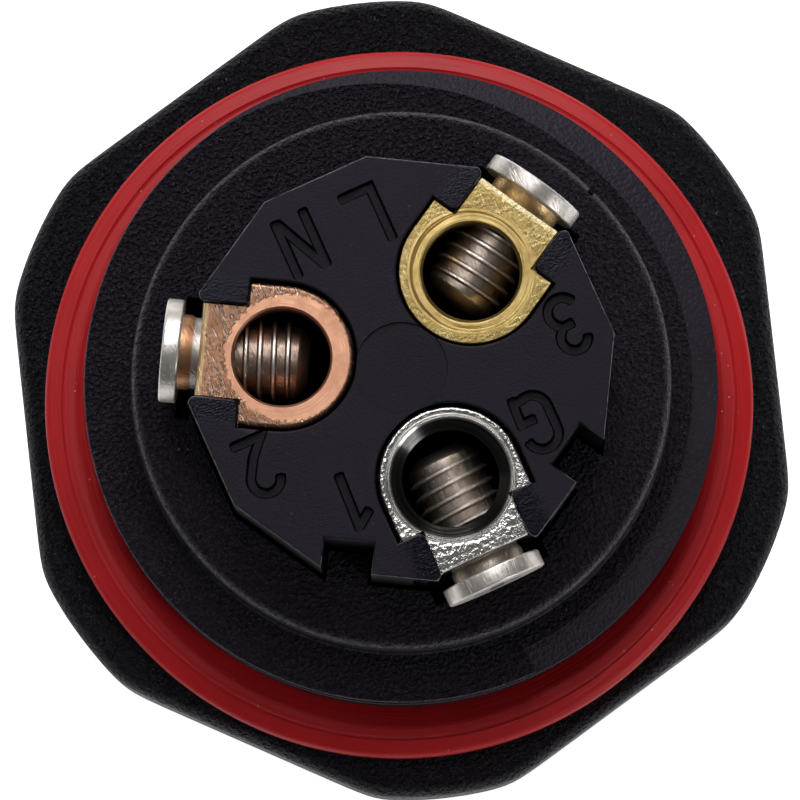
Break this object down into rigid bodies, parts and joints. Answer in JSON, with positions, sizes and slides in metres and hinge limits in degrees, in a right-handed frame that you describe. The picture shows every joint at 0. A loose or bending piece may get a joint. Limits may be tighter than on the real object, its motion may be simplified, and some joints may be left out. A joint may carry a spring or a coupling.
{
  "type": "waterproof cable coupler half",
  "caption": "Cable half of a waterproof power coupler: hexagon flange, threaded spigot, red face seals, pillar screw terminals and shrouded contact pins.",
  "frame": {"origin": "centre of the mating end face, on the coupling axis", "axes": "+Z along the coupling axis towards the wire terminals, +Y towards the ground terminal"},
  "size_m": [0.0308, 0.0306, 0.0313],
  "materials": {
    "body_nylon": "black glass-filled nylon with a pebbled moulded grain",
    "carrier_nylon": "satin black moulded nylon",
    "red_silicone": "red moulded silicone",
    "black_rubber": "black nitrile rubber",
    "spring_steel": "dull spring steel",
    "brass": "turned bare brass",
    "copper": "bare copper alloy, scratched",
    "nickel": "nickel-plated brass",
    "zinc_steel": "bright plated steel"
  },
  "bodies": {
    "coupler": {"coupler_body": "body_nylon", "flange_seal": "red_silicone", "mating_seal": "red_silicone", "contact_carrier": "carrier_nylon", "carrier_seal": "black_rubber", "retaining_ring": "spring_steel", "terminal_ground": "nickel", "contact_seal_ground": "black_rubber", "terminal_line": "brass", "contact_seal_line": "black_rubber", "terminal_neutral": "copper", "contact_seal_neutral": "black_rubber"},
    "screw_ground": {"clamp_screw_ground": "zinc_steel"},
    "screw_line": {"clamp_screw_line": "zinc_steel"},
    "screw_neutral": {"clamp_screw_neutral": "zinc_steel"}
  },
  "joints": [
    {"name": "clamp_travel_ground", "type": "slide", "parent": "coupler", "child": "screw_ground", "axis": [0, 1, 0], "range_m": [-0.00039, 0.003]},
    {"name": "clamp_travel_line", "type": "slide", "parent": "coupler", "child": "screw_line", "axis": [-0.866, -0.5, 0], "range_m": [-0.00043, 0.00296]},
    {"name": "clamp_travel_neutral", "type": "slide", "parent": "coupler", "child": "screw_neutral", "axis": [0.866, -0.5, 0], "range_m": [-0.00061, 0.00278]}
  ]
}
